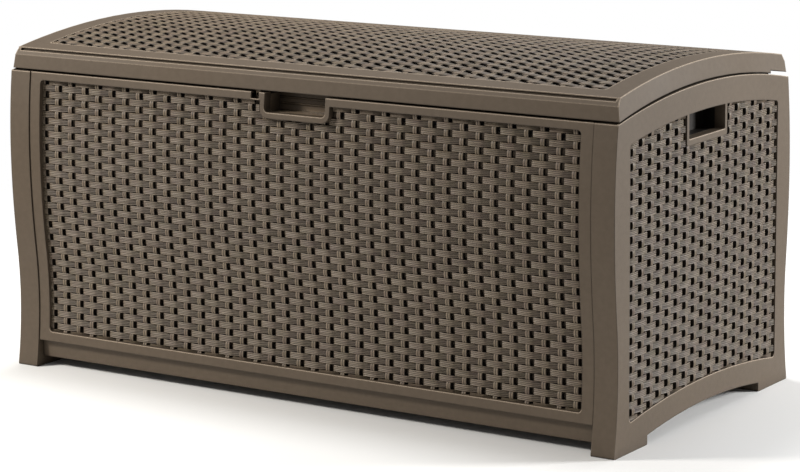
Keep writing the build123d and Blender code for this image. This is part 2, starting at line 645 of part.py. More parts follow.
def liner_walls():
    """The walls that stand on the liner, before they are cut to its arched sheet and the shell."""
    width, reach = LINER_HALF_WIDTH, LINER_HALF_DEPTH
    walls = []
    for y in (-reach, reach - SKIN):
        walls.append(block(-width, width, y, y + SKIN, 0, LID_CREST))
    for bay in range(LINER_WALL_BAYS + 1):
        x = -width + bay * (2 * width - SKIN) / LINER_WALL_BAYS
        walls.append(block(x, x + SKIN, SKIN / 2 - reach, reach - SKIN / 2, 0, LID_CREST))
    return walls


def make_lid_liner():
    reach = LINER_HALF_DEPTH
    slab = block(-LINER_HALF_WIDTH, LINER_HALF_WIDTH, -reach, reach, 0, LID_CREST)
    body = (slab & under_liner(SKIN)) - under_liner(0)
    wall_space = lid_crown(LID_FIELD_DEPTH + SKIN + CONTACT_GAP) - under_liner(SKIN / 2)
    for wall in liner_walls():
        body += wall & wall_space
    rib_space = under_liner(SKIN / 2) - under_liner(-LINER_RIB_HEIGHT)
    for step in range(-LINER_RIB_STEPS, LINER_RIB_STEPS + 1):
        x = step * LINER_RIB_PITCH
        body += rib_space & block(x - LINER_RIB_WIDTH / 2, x + LINER_RIB_WIDTH / 2,
                                  -reach, reach, 0, LID_CREST)
    lip_space = under_liner(SKIN / 2) - under_liner(-LINER_LIP_HEIGHT)
    for x in (-LINER_LIP_X, LINER_LIP_X):
        body += lip_space & block(x - SKIN / 2, x + SKIN / 2, -reach, reach, 0, LID_CREST)
    return cut_holes(body, liner_screws() + stay_lid_screws())


def make_lid_lock_tab():
    x_low = NOTCH_LEFT + LOCK_TAB_MARGIN
    x_high = NOTCH_RIGHT - LOCK_TAB_MARGIN
    y_front = -LOCK_TAB_FACE
    y_back = y_front + SKIN
    tab = block(x_low, x_high, y_front, y_back, NOTCH_BOTTOM + PAST, LOCK_TAB_TOP)
    middle = (x_low + x_high) / 2
    height = NOTCH_BOTTOM + LOCK_HOLE_RISE
    hole = rod((middle, y_front - PAST, height), (middle, y_back + PAST, height), LOCK_HOLE_RADIUS)
    web = block(x_low, x_high, y_back, -LINER_HALF_DEPTH - CONTACT_GAP, LOCK_WEB_LOW, LOCK_WEB_HIGH)
    return tab + web - hole


# ---- Hinges ----
def along_pin(x_low, x_high, radius):
    """A round bar on the axis of the hinges."""
    return rod((x_low, HINGE_Y, HINGE_Z), (x_high, HINGE_Y, HINGE_Z), radius)


def make_hinge_base(x):
    reach = HINGE_BASE_HALF_LENGTH
    back = HINGE_Y + HINGE_BASE_HALF_DEPTH
    body = block(x - reach, x + reach, HINGE_BASE_FRONT, back,
                 REAR_PANEL_TOP + CONTACT_GAP / 3, REAR_PANEL_TOP + SKIN)
    for hand in (-1, 1):
        ends = (x + hand * (KNUCKLE_HALF_LENGTH + KNUCKLE_GAP), x + hand * HINGE_HALF_LENGTH)
        low, high = min(ends), max(ends)
        body += block(low, high, HINGE_Y - HINGE_BASE_HALF_DEPTH, back, REAR_PANEL_TOP + SKIN, HINGE_Z)
        body += along_pin(low, high, KNUCKLE_RADIUS)
    body -= along_pin(x - reach, x + reach, PIN_RADIUS + PIN_CLEARANCE)
    return cut_holes(body, hinge_base_screws(x))


def make_hinge_leaf(x):
    half = KNUCKLE_HALF_LENGTH
    reach = LEAF_PLATE_HALF_LENGTH
    face = HINGE_Y - KNUCKLE_RADIUS
    plate_back = LID_SHOULDER_HALF_DEPTH - SKIN - CONTACT_GAP / 3
    body = along_pin(x - half, x + half, KNUCKLE_RADIUS)
    body += block(x - half, x + half, face, HINGE_Y, HINGE_Z, HINGE_Z + LEAF_NECK_RISE)
    body += block(x - reach, x + reach, face, plate_back, LEAF_PLATE_LOW, LEAF_PLATE_HIGH)
    body -= along_pin(x - half, x + half, PIN_RADIUS + PIN_CLEARANCE)
    return cut_holes(body, hinge_leaf_screws(x))


def make_hinge_pin(x):
    end = HINGE_HALF_LENGTH + PIN_END
    pin = along_pin(x - end, x + end, PIN_RADIUS)
    return pin + along_pin(x + end, x + end + PIN_HEAD_LENGTH, PIN_HEAD_RADIUS)


# ---- Lid stays: a gas stay at each end, between the side panel and the lid ----
def stay_base_screws():
    y, z = STAY_BASE
    screws = []
    for hand in (-1, 1):
        x = hand * (HALF_WIDTH - PANEL_DEPTH - SKIN)
        for dz in (-STAY_BASE_SCREW_Z, STAY_BASE_SCREW_Z):
            screws.append(((x, y, z + dz), (hand, 0, 0), STAY_BASE_SCREW_LENGTH))
    return screws


def stay_plate_top():
    return liner_underside(STAY_LID[0] + STAY_PLATE_HALF_LENGTH) - CONTACT_GAP


def stay_lid_screws():
    screws = []
    for hand in (-1, 1):
        for dy in (-STAY_PLATE_SCREW_Y, STAY_PLATE_SCREW_Y):
            place = (hand * STAY_PLATE_SCREW_X, STAY_LID[0] + dy, stay_plate_top() - SKIN)
            screws.append((place, (0, 0, 1), STAY_PLATE_SCREW_LENGTH))
    return screws


def stay_direction():
    run = STAY_LID[0] - STAY_BASE[0]
    rise = STAY_LID[1] - STAY_BASE[1]
    length = math.hypot(run, rise)
    return length, run / length, rise / length


def along_stay(distance):
    _, run, rise = stay_direction()
    return (STAY_X, STAY_BASE[0] + distance * run, STAY_BASE[1] + distance * rise)


def make_stay_base():
    y, z = STAY_BASE
    wall = HALF_WIDTH - PANEL_DEPTH
    plate = block(wall - SKIN, wall - CONTACT_GAP / 3, y - STAY_BASE_HALF_WIDTH,
                  y + STAY_BASE_HALF_WIDTH, z - STAY_BASE_HALF_HEIGHT, z + STAY_BASE_HALF_HEIGHT)
    collar = rod((SOCKET_SIDE_X, y, z), (wall - SKIN, y, z), STUD_COLLAR_RADIUS)
    stud = rod((STUD_END_X, y, z), (wall - SKIN, y, z), STUD_RADIUS)
    return cut_holes(plate + collar + stud, stay_base_screws())


def make_stay_lid_bracket():
    y, z = STAY_LID
    top = stay_plate_top()
    x_low = STAY_PLATE_X - STAY_PLATE_HALF_WIDTH
    x_high = STAY_PLATE_X + STAY_PLATE_HALF_WIDTH
    plate = block(x_low, x_high, y - STAY_PLATE_HALF_LENGTH, y + STAY_PLATE_HALF_LENGTH, top - SKIN, top)
    arm = block(x_low, x_low + SKIN, y - STAY_ARM_HALF_SIZE, y + STAY_ARM_HALF_SIZE,
                z - STAY_ARM_HALF_SIZE, top - SKIN)
    stud = rod((SOCKET_SIDE_X, y, z), (x_low, y, z), STUD_RADIUS)
    return cut_holes(plate + arm + stud, stay_lid_screws())


def stay_socket(y, z):
    return Pos(STAY_X, y, z) * (Rot(0, 90, 0) * Cylinder(SOCKET_RADIUS, 2 * SOCKET_RADIUS))


def make_stay_parts():
    length, _, _ = stay_direction()
    y, z = STAY_BASE
    lower = stay_socket(y, z) + rod(along_stay(0), along_stay(TUBE_START), SOCKET_NECK_RADIUS)
    lower -= rod((STUD_BORE_X, y, z), (SOCKET_SIDE_X, y, z), STUD_RADIUS + PIN_CLEARANCE)
    tube_end = along_stay(length - TUBE_END_MARGIN)
    tube = rod(along_stay(TUBE_START), tube_end, STAY_TUBE_RADIUS)
    tube -= rod(along_stay(TUBE_BORE_START), tube_end, STAY_ROD_RADIUS + PIN_CLEARANCE)
    shaft = rod(along_stay(ROD_START), along_stay(length - ROD_END_MARGIN), STAY_ROD_RADIUS)
    neck = rod(along_stay(length - UPPER_NECK_START), along_stay(length), SOCKET_NECK_RADIUS)
    upper = stay_socket(*STAY_LID) + neck - shaft
    return {"stay_cylinder_socket": lower, "stay_cylinder": tube,
            "stay_rod": shaft, "stay_rod_socket": upper}


# ---- Writing the parts ----
def flipped(solid):
    return mirror(solid, Plane.YZ)


def screws_from(screws):
    return [screw(*each) for each in screws]


def main():
    os.makedirs("parts", exist_ok=True)
    save("front_panel", make_front_panel())
    save("rear_panel", make_rear_panel())
    save("floor_panel", make_floor_panel())
    side_panel = make_right_side_panel()
    save("right_side_panel", side_panel)
    save("left_side_panel", flipped(side_panel))
    hand_hold = make_right_hand_hold()
    save("right_hand_hold", hand_hold)
    save("left_hand_hold", flipped(hand_hold))
    save("front_pull_cup", make_front_pull_cup())
    save("corner_screws", *screws_from(corner_screws(-1) + corner_screws(1)))
    save("cup_screws", *screws_from(pull_cup_screws() + hold_screws(-1) + hold_screws(1)))

    save("lid_shell", make_lid_shell())
    save("lid_liner", make_lid_liner())
    save("lid_liner_screws", *screws_from(liner_screws()))
    save("lid_lock_tab", make_lid_lock_tab())

    base_screws, leaf_screws = [], []
    for name, x in HINGE_PLACES.items():
        save(f"{name}_hinge_base", make_hinge_base(x))
        save(f"{name}_hinge_leaf", make_hinge_leaf(x))
        save(f"{name}_hinge_pin", make_hinge_pin(x))
        base_screws += screws_from(hinge_base_screws(x))
        leaf_screws += screws_from(hinge_leaf_screws(x))
    save("hinge_base_screws", *base_screws)
    save("hinge_leaf_screws", *leaf_screws)

    stay_parts = make_stay_parts()
    stay_parts["stay_base"] = make_stay_base()
    stay_parts["stay_lid_bracket"] = make_stay_lid_bracket()
    for name, solid in stay_parts.items():
        save(f"right_{name}", solid)
        save(f"left_{name}", flipped(solid))
    save("stay_base_screws", *screws_from(stay_base_screws()))
    save("stay_lid_screws", *screws_from(stay_lid_screws()))


main()
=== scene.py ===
import math

import bpy
import numpy as np
from mathutils import Matrix, Vector
from mathutils.bvhtree import BVHTree


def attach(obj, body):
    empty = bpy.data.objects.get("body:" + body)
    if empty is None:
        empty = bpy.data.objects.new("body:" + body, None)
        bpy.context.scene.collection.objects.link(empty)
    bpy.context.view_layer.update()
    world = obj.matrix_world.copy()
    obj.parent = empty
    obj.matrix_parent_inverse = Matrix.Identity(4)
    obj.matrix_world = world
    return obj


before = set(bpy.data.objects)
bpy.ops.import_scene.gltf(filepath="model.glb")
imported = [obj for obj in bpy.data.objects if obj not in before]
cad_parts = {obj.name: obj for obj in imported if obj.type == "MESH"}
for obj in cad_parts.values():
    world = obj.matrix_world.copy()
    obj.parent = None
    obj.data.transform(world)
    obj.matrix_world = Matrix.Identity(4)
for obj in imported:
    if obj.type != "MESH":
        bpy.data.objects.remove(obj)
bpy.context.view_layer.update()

# The deck storage box's looks. Metres, +Z up, the front faces -Y.
# A weave is laid out in its own axes: u along its strands, v across them, n out from its crest.

# ---- Woven fields, as the panels' recesses are cut ----
FRONT_FIELD = {"half_width": 0.616, "low": 0.074, "high": 0.585}
REAR_FIELD = {"half_width": 0.616, "low": 0.074, "high": 0.562}
SIDE_FIELD = {"half_width": 0.290, "low": 0.078, "low_corner": 0.055, "high": 0.584, "high_corner": 0.559}
LID_FIELD = {"half_width": 0.634, "half_depth": 0.280}
PULL_GAP = (0.0815, 0.5635)   # half width and bottom of the border round the finger pull
HOLD_GAP = (0.0815, 0.5365)   # the same round a hand-hold

# ---- The recesses' floors ----
UPRIGHT_PROBE_X = 0.3         # where rays find the front and rear floors, clear of the finger pull
UPRIGHT_SPAN = (0.076, 0.560)
UPRIGHT_SAMPLES = 60
SIDE_PROBE = (0.1, 0.3)       # y and z of the ray that finds a side's flat floor, below the hand-hold
LID_PROBE_X = 0.3
LID_SPAN = (-0.278, 0.278)
LID_SAMPLES = 80
# The front weave's crest over its floor, at three heights: it stands fuller near the ground.
CREST_HEIGHTS = ((0.05, 0.25, 0.60), (0.0100, 0.0095, 0.0060))
SIDE_CREST = 0.0172
LID_CREST = 0.0076
SIDE_DEPTH = 0.012            # from the crest to the bottom of a pocket
LID_DEPTH = 0.0075

# ---- Strands ----
ROW_PITCH = 0.01308
HALF_ROW = ROW_PITCH / 2
ROW_SEAM = 0.00012
THINNEST_STRAND = 0.0012      # a row that the field's edge leaves thinner than this is left out
BEND_CLEARANCE = 0.0003       # the field's edge cuts a strand or stake no nearer to a bend than this
STRAND_BEND = 0.0095          # where a strand starts to slope down, from the stake it lies over
STRAND_START_DIP = 0.0012     # how far below its crest a strand starts at the edge of its pocket
STRAND_DIP = 0.0046           # how far it has gone down at the next stake
POCKET_WALL = 0.0004
STRAND_THICKNESS = 0.0024
WALL_STEP = 0.00025           # below this the strands' and stakes' sides take the pocket's painted shade
STRAND_REEDS = 4
REED_DEPTH = 0.0009
VALLEY_SHADE = 0.84           # painted shade in the lines between reeds
EDGE_ROUND = 0.0004
UNDERSIDE_SHARE = 0.92        # of the top's width
STRAND_GRAIN_SHIFT = 0.37     # each strand's fibres are taken this much further along the noise

# ---- Stakes ----
STAKE_HALF_WIDTH = 0.0050
STAKE_REEDS = 2
STAKE_RISE = 0.0004
STAKE_DIP = 0.0042
STAKE_THICKNESS = 0.0060
STAKE_STEPS = 8               # points along a stake from one place where it is on top to the next
STAKE_GAP_SINK = 0.004        # how far a stake ends below an opening's border
STAKE_GRAIN_SHIFT = 0.41
FLOOR_SINK = 0.0028           # how far strands and stakes run into the recess's floor
SEED_STEP, SEED_START = 7, 3  # each weave's tones are drawn from a seed made from its name's length

# ---- How each field is woven ----
# The first stake is the one at the lowest u, and the first row the one at the highest v. parity says
# whether row 0 goes over stake 0 (0) or over stake 1 (1). pocket is the width of the pocket beside each
# stake, which is painted dark as shade, relief scales how far strands and stakes rise and fall, side_shade is
# the painted shade on the strands' sides, and tone is how pale the strands are, in steps of one strand's
# variation.
FRONT_PITCH = 0.03374
SIDE_PITCH = 0.03351
LID_PITCH = 2 * LID_FIELD["half_width"] / 38
STAKE_SHIFT = 0.008           # the stakes stand this far to the low-u side of their columns' middles
SIDE_STAKE_SHIFT = 0.003      # the sides' middle stake stands this far to the high-u side of the middle
FRONT_WEAVE = {
    "first_stake": -18 * FRONT_PITCH - STAKE_SHIFT, "stakes": 38, "pitch": FRONT_PITCH,
    "first_row": 0.5819, "rows": 40, "parity": 1,
    "pocket": 0.0086, "relief": 1.0, "side_shade": 0.35, "tone": 0.8,
}
# The sides' strands have a lower tone than the front's and the lid's: painted shade that darkens the side
# weaves.
SIDE_WEAVE = {
    "first_stake": SIDE_STAKE_SHIFT - 9 * SIDE_PITCH, "stakes": 19, "pitch": SIDE_PITCH,
    "first_row": 0.5827, "rows": 42, "parity": 1,
    "pocket": 0.0135, "relief": 0.7, "side_shade": 0.35, "tone": -2.2,
}
LID_WEAVE = {
    "first_stake": -LID_FIELD["half_width"] + LID_PITCH / 2 - STAKE_SHIFT, "stakes": 39, "pitch": LID_PITCH,
    "first_row": 21 * ROW_PITCH, "rows": 43, "parity": 0,
    "pocket": 0.0182, "relief": 0.8, "side_shade": 1.0, "tone": 0.8,
}

# ---- Colours, as linear RGB ----
MOCHA = (0.094, 0.070, 0.048)
MOCHA_PALE = (0.290, 0.225, 0.160)
MOCHA_SHADE = (0.0022, 0.0014, 0.0010)
# Pale for the frame and lid: their faint mottle, and the painted highlight on their upward edges.
PALE_AND_HIGHLIGHT = (0.400, 0.320, 0.240)
OLIVE = (0.108, 0.088, 0.046)
PURPLE = (0.108, 0.066, 0.056)
INNER = (0.060, 0.046, 0.036)
CUP = (0.250, 0.188, 0.128)
CUP_PALE = (0.42, 0.30, 0.20)
POWDER = (0.052, 0.041, 0.032)
NYLON_BLACK = (0.012, 0.012, 0.013)
NYLON_PALE = (0.06, 0.06, 0.06)
TUBE_BLACK = (0.010, 0.010, 0.011)
TUBE_PALE = (0.05, 0.05, 0.05)
STEEL_GREY = (0.42, 0.41, 0.40)
CHROME_GREY = (0.72, 0.72, 0.72)
PAPER = (0.88, 0.88, 0.87)
WHITE = (1.0, 1.0, 1.0)
WARM_WHITE = (1.0, 0.960, 0.905)

# ---- Studio and camera ----
FLOOR_REACH = 3.5
FLOOR_FADE = (0.3, 0.8)       # the shares of the way in at which the floor starts to show and is solid
SURROUND_LIGHT = 0.28         # how bright the white surroundings are as a light
BOX_MIDDLE = (0, 0, 0.35)
KEY_TARGET = (-0.4, -0.3, 0.35)
LIGHTS = {                    # place, target, size, watts and colour
    "key": ((-2.5, -2.2, 2.1), KEY_TARGET, (0.7, 0.7), 130, WARM_WHITE),
    "side": ((3.7, 2.3, 1.35), BOX_MIDDLE, (0.9, 0.9), 224, WHITE),
    "top": ((-0.6, 0.3, 3.4), BOX_MIDDLE, (1.0, 0.8), 66, WHITE),
    "rear": ((0.8, 4.0, 2.2), BOX_MIDDLE, (2.0, 1.2), 45, WHITE),
}
VIEW_AZIMUTH = math.radians(33.54)
VIEW_ELEVATION = math.radians(11.48)
VIEW_ROLL = -0.0111
VIEW_PLACE = (3.1418, -4.7215, 1.4265)
VIEW_LENS = 131.7
VIEW_SENSOR = 36.0


# ---- Shapes ----
def arc_drop(half_chord, rise, distance):
    """How far an arc that rises by `rise` over `half_chord` falls at a distance from its crest."""
    radius = (half_chord ** 2 + rise ** 2) / (2 * rise)
    return radius - np.sqrt(radius ** 2 - np.square(distance))


def surface_finder(node_name):
    """A function that gives the first point of a CAD node's surface along a ray."""
    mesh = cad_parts[node_name].data
    tree = BVHTree.FromPolygons([v.co for v in mesh.vertices], [list(p.vertices) for p in mesh.polygons])

    def find(start, direction):
        return tree.ray_cast(Vector(start), Vector(direction))[0]
    return find


def add_point_values(mesh, name, values):
    mesh.attributes.new(name, "FLOAT", "POINT").data.foreach_set("value", values.astype(np.float32))


def new_piece(name, points, faces, uvs, shades, material, body):
    """A smooth mesh object with a UV in metres, and a tone and a painted shade for each point; the painted
    shade is kept in the attribute named depth.
    """
    mesh = bpy.data.meshes.new(name)
    mesh.vertices.add(len(points))
    mesh.vertices.foreach_set("co", points.astype(np.float32).ravel())
    mesh.loops.add(faces.size)
    mesh.loops.foreach_set("vertex_index", faces.astype(np.int32).ravel())
    mesh.polygons.add(len(faces))
    mesh.polygons.foreach_set("loop_start", np.arange(0, faces.size, 4, dtype=np.int32))
    mesh.polygons.foreach_set("use_smooth", np.ones(len(faces), dtype=bool))
    layer = mesh.uv_layers.new(name="strand")
    layer.data.foreach_set("uv", uvs[faces.ravel()].astype(np.float32).ravel())
    add_point_values(mesh, "tone", shades[:, 0])
    # The depth attribute holds the painted shade of pockets, slopes, sides and reed lines.
    add_point_values(mesh, "depth", shades[:, 1])
    mesh.update(calc_edges=True)
    mesh.validate()
    mesh.set_sharp_from_angle(angle=math.radians(50))
    mesh.materials.append(material)
    piece = bpy.data.objects.new(name, mesh)
    bpy.context.scene.collection.objects.link(piece)
    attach(piece, body)


def is_right_handed(place):
    """Whether place(u, v, n) keeps the axes' hand, tried over a short step along each."""
    start, step = 0.3, 0.01
    corners = place(np.array([0, step, 0, 0]), np.array([start, start, start + step, start]),
                    np.array([0, 0, 0, step]))
    return np.linalg.det(corners[1:] - corners[0]) > 0


class Strips:
    """Collects closed strips of a ring-shaped section into one mesh."""

    def __init__(self, place):
        self.place = place
        self.points, self.faces, self.uvs, self.shades = [], [], [], []
        self.count = 0

    def add(self, u, v, n, along, across, tone, depth):
        """One strip: arrays of one row for each station and one column for each ring point. depth is each
        point's painted shade.
        """
        stations, ring = u.shape
        self.points.append(self.place(u, v, n).reshape(-1, 3))
        self.uvs.append(np.stack([along, across], axis=-1).reshape(-1, 2))
        self.shades.append(np.stack([np.full(u.size, tone), depth.ravel()], axis=-1))
        index = np.arange(stations * ring).reshape(stations, ring) + self.count
        here, there = index[:-1], index[1:]
        walls = np.stack([here, np.roll(here, -1, axis=1), np.roll(there, -1, axis=1), there], axis=-1)
        self.faces.append(walls.reshape(-1, 4))
        for end, order in ((index[0], -1), (index[-1], 1)):
            middle = len(end) // 2
            caps = [[end[i], end[i + 1], end[ring - 2 - i], end[ring - 1 - i]] for i in range(middle)]
            caps = [cap for cap in caps if len(set(cap)) == 4]
            self.faces.append(np.array(caps)[:, ::order])
        self.count += u.size

    def build(self, name, material, body):
        points, faces, uvs, shades = (np.concatenate(each) for each in
                                      (self.points, self.faces, self.uvs, self.shades))
        faces = faces if is_right_handed(self.place) else faces[:, ::-1]
        new_piece(name, points, faces, uvs, shades, material, body)


def strand_outline(pitch, pocket, relief):
    """(place along, share of the pocket's depth, dip in metres, painted shade) along a strand.

    Places are from the stake that it lies over. It starts at the edge of a pocket, runs level over
    the stake, slopes down, goes under the next stake and comes out at the bottom of the next pocket.
    """
    stake_edge = pitch + STAKE_HALF_WIDTH
    start = stake_edge + pocket - 2 * pitch
    # The last column is painted shade: the strand darkens as it slopes down to the next stake and is darkest
    # in the pocket.
    outline = np.array([
        (start, 0, STRAND_START_DIP + 0.0007, 0.15),
        (start + 0.0012, 0, STRAND_START_DIP, 0.0),
        (-STRAND_BEND - 0.0020, 0, 0.0004, 0.0),
        (0.0, 0, 0.0, 0.0),
        (STRAND_BEND - 0.0015, 0, 0.0003, 0.05),
        (STRAND_BEND + 0.0020, 0, 0.0011, 0.38),
        (pitch - STAKE_HALF_WIDTH, 0, STRAND_DIP, 0.55),
        (stake_edge, 0, STRAND_DIP + 0.0006, 0.9),
        (stake_edge + POCKET_WALL, 1, 0.0, 1.0),
        (stake_edge + pocket - POCKET_WALL, 1, 0.0, 1.0),
    ])
    outline[:, 2] *= relief
    return outline


def reed_ring(reeds, side_shade):
    """A section's ring: (place across, height of the top's points, painted shade), with 4 points below the
    top.
    """
    top = np.linspace(-1, 1, 2 * reeds + 1)
    is_ridge = np.arange(len(top)) % 2
    ridges = REED_DEPTH * (is_ridge - 1) - EDGE_ROUND * np.abs(top) ** 6
    across = np.concatenate([top, [1.0, UNDERSIDE_SHARE, -UNDERSIDE_SHARE, -1.0]])
    darkness = np.concatenate([VALLEY_SHADE * (1 - is_ridge), [side_shade, 1, 1, side_shade]])
    return across, ridges, darkness


def ring_heights(height, ridges, thickness):
    """The heights of a reed ring at each station: its ridged top, then its sides and underside."""
    sides = [height - REED_DEPTH - EDGE_ROUND - drop for drop in (WALL_STEP, thickness, thickness, WALL_STEP)]
    return np.concatenate([height + ridges[None, :]] + sides, axis=1)


def runs(valid):
    """The (first, last) of each run of True."""
    edges = np.flatnonzero(np.diff(np.concatenate([[0], valid.astype(int), [0]])))
    return [(a, b) for a, b in edges.reshape(-1, 2) if b - a > 1]


def within(places, low, high):
    """The places that are inside two edges, with the edges at their ends."""
    inside = places[(places > low + BEND_CLEARANCE) & (places < high - BEND_CLEARANCE)]
    return np.concatenate([[low], inside, [high]])


def add_strand(strips, number, middle, field, layout, gap, tone):
    """One row's strand, over every other stake and under those between them."""
    outline = strand_outline(layout["pitch"], layout["pocket"], layout["relief"])
    across, ridges, valleys = reed_ring(STRAND_REEDS, layout["side_shade"])
    columns = np.arange(-2, layout["stakes"] + 2)[(number + layout["parity"]) % 2::2]
    overs = layout["first_stake"] + layout["pitch"] * columns
    bends = (overs[:, None] + outline[None, :, 0]).ravel()
    u = within(bends, -layout["half_width"], layout["half_width"])
    share, dip, shade = (np.interp(u, bends, np.tile(outline[:, k], len(overs))) for k in (1, 2, 3))
    low, high = field(u)
    low = np.maximum(low, middle - HALF_ROW + ROW_SEAM)
    high = np.minimum(high, middle + HALF_ROW - ROW_SEAM)
    valid = high - low > THINNEST_STRAND
    if gap and middle + HALF_ROW > gap[1]:
        valid &= np.abs(u) > gap[0]
    for first, last in runs(valid):
        part = slice(first, last)
        mid, half = (low[part] + high[part]) / 2, (high[part] - low[part]) / 2
        height = -(dip[part] + share[part] * layout["depth"](mid))[:, None]
        v = mid[:, None] + half[:, None] * across[None, :]
        n = np.maximum(ring_heights(height, ridges, STRAND_THICKNESS), -layout["depth"](v) - FLOOR_SINK)
        uu = np.repeat(u[part, None], v.shape[1], axis=1)
        # Painted shade: the darker of the slope's shade and the ring's valley and side shade.
        dark = np.maximum(shade[part, None], valleys[None, :])
        strips.add(uu, v, n, uu + number * STRAND_GRAIN_SHIFT, v, tone, dark)


def add_stake(strips, number, middle, field, layout, gap, tone):
    """One stake, which dips under the strands that lie over it."""
    across, ridges, valleys = reed_ring(STAKE_REEDS, 1.0)
    first_over = (number + layout["parity"]) % 2
    overs = layout["first_row"] - ROW_PITCH * np.arange(-1, layout["rows"] + 1)[first_over::2]
    steps = np.linspace(-1, 1, STAKE_STEPS + 1)[:-1] * ROW_PITCH
    low, high = (float(edge[0]) for edge in field(np.array([middle])))
    if gap and abs(middle) < gap[0]:
        high = gap[1] - STAKE_GAP_SINK
    v = within(np.unique(np.round((overs[:, None] + steps[None, :]).ravel(), 5)), low, high)
    phase = (v - overs[0]) / ROW_PITCH * math.pi
    dips = layout["relief"] * STAKE_DIP * (0.5 - 0.5 * np.cos(phase)) ** 1.5
    height = (-STAKE_RISE - dips)[:, None]
    n = np.maximum(ring_heights(height, ridges, STAKE_THICKNESS), -layout["depth"](v)[:, None] - FLOOR_SINK)
    uu = np.clip(middle + STAKE_HALF_WIDTH * across, -layout["half_width"], layout["half_width"])
    uu = np.repeat(uu[None, :], len(v), axis=0)
    vv = np.repeat(v[:, None], n.shape[1], axis=1)
    # Painted shade: the stake's reed valleys, and its sides as dark as the pocket.
    dark = np.repeat(valleys[None, :], len(v), axis=0)
    strips.add(uu, vv, n, vv + number * STAKE_GRAIN_SHIFT, uu, tone, dark)


def weave(name, body, place, field, layout, gap=None):
    """Strands along u over and under stakes along v, inside a field.

    place(u, v, n) gives points of the frame, field(u) the lowest and highest v at each u, and
    layout["depth"](v) the depth of the recess. gap is (half width, bottom) of an opening in the upper edge.
    """
    seed = np.random.default_rng(len(name) * SEED_STEP + SEED_START)
    strands = Strips(place)
    for number in range(layout["rows"]):
        middle = layout["first_row"] - ROW_PITCH * number
        add_strand(strands, number, middle, field, layout, gap, seed.normal(layout["tone"], 1.0))
    strands.build(name + "_strands", STRAND_RESIN, body)
    stakes = Strips(place)
    for number in range(layout["stakes"]):
        middle = layout["first_stake"] + layout["pitch"] * number
        if abs(middle) < layout["half_width"] + STAKE_HALF_WIDTH / 2:
            add_stake(stakes, number, middle, field, layout, gap, seed.normal(layout["tone"], 1.0))
    stakes.build(name + "_stakes", STAKE_RESIN, body)


# ---- Material tools ----
def new_material(name, colour, roughness):
    """A material with one Principled shader, whose constant values sit on its own sockets."""
    material = bpy.data.materials.new(name)
    material.use_nodes = True
    shader = material.node_tree.nodes["Principled BSDF"]
    shader.inputs["Base Color"].default_value = (*colour, 1)
    shader.inputs["Roughness"].default_value = roughness
    shader.inputs["Specular IOR Level"].default_value = 0.25
    return material, shader


def node(material, kind, **values):
    """Adds a node. Names that start with set_ set its attributes, and the rest set its sockets."""
    made = material.node_tree.nodes.new(kind)
    for key, value in values.items():
        if key.startswith("set_"):
            setattr(made, key[4:], value)
        else:
            made.inputs[key.replace("_", " ")].default_value = value
    return made


def link(material, source, target):
    material.node_tree.links.new(source, target)


def tinted(colour, factor):
    return tuple(channel * factor for channel in colour)


def mix_colour(material, factor, first, second):
    """A colour mix. factor is a socket or a number, and each colour a socket or an RGB triple."""
    mix = node(material, "ShaderNodeMix", set_data_type="RGBA")
    colours = [s for s in mix.inputs if s.type == "RGBA"]
    factors = [s for s in mix.inputs if s.name == "Factor" and s.type == "VALUE"]
    for socket, value in zip((factors[0], colours[0], colours[1]), (factor, first, second)):
        if isinstance(value, (int, float)):
            socket.default_value = value
        elif isinstance(value, tuple):
            socket.default_value = (*value, 1)
        else:
            link(material, value, socket)
    return [s for s in mix.outputs if s.type == "RGBA"][0]


def object_place(material):
    return node(material, "ShaderNodeTexCoord").outputs["Object"]


def noise(material, coordinates, scale, detail=3.0, stretch=(1, 1, 1)):
    """Noise whose features are about 1 / scale metres, stretched by a factor along each axis."""
    mapping = node(material, "ShaderNodeMapping")
    mapping.inputs["Scale"].default_value = stretch
    link(material, coordinates, mapping.inputs["Vector"])
    texture = node(material, "ShaderNodeTexNoise", Scale=scale, Detail=detail)
    link(material, mapping.outputs["Vector"], texture.inputs["Vector"])
    return texture.outputs["Fac"]


def remap(material, value, before, after):
    """A value moved from the range `before` to the range `after`, and held inside it."""
    ranged = node(material, "ShaderNodeMapRange", From_Min=before[0], From_Max=before[1],
                  To_Min=after[0], To_Max=after[1])
    link(material, value, ranged.inputs["Value"])
    return ranged.outputs["Result"]


def times(material, first, second):
    product = node(material, "ShaderNodeMath", set_operation="MULTIPLY")
    link(material, first, product.inputs[0])
    link(material, second, product.inputs[1])
    return product.outputs["Value"]


def openness(material, distance):
    """1 on open surfaces, falling to 0 in crevices narrower than a distance."""
    occlusion = node(material, "ShaderNodeAmbientOcclusion", set_samples=6, Distance=distance)
    return occlusion.outputs["AO"]


def edge_masks(material, radius):
    """(edge, up): edge is 1 along sharp edges and 0 on flat faces, and up is how far the edge faces up.

    A sharp edge is where a rounded normal leaves the face's own.
    """
    rounded = node(material, "ShaderNodeBevel", set_samples=6, Radius=radius).outputs["Normal"]
    flat = node(material, "ShaderNodeNewGeometry").outputs["Normal"]
    product = node(material, "ShaderNodeVectorMath", set_operation="DOT_PRODUCT")
    link(material, rounded, product.inputs[0])
    link(material, flat, product.inputs[1])
    parts = node(material, "ShaderNodeSeparateXYZ")
    link(material, rounded, parts.inputs["Vector"])
    return remap(material, product.outputs["Value"], (0.998, 0.93), (0, 1)), parts.outputs["Z"]


def rounded_normal(material, shader, height, distance, strength, edge_radius=0):
    """A fine bump, over softened edges where there is an edge radius."""
    bump = node(material, "ShaderNodeBump", Strength=strength, Distance=distance)
    link(material, height, bump.inputs["Height"])
    if edge_radius:
        bevel = node(material, "ShaderNodeBevel", set_samples=4, Radius=edge_radius)
        link(material, bevel.outputs["Normal"], bump.inputs["Normal"])
    link(material, bump.outputs["Normal"], shader.inputs["Normal"])


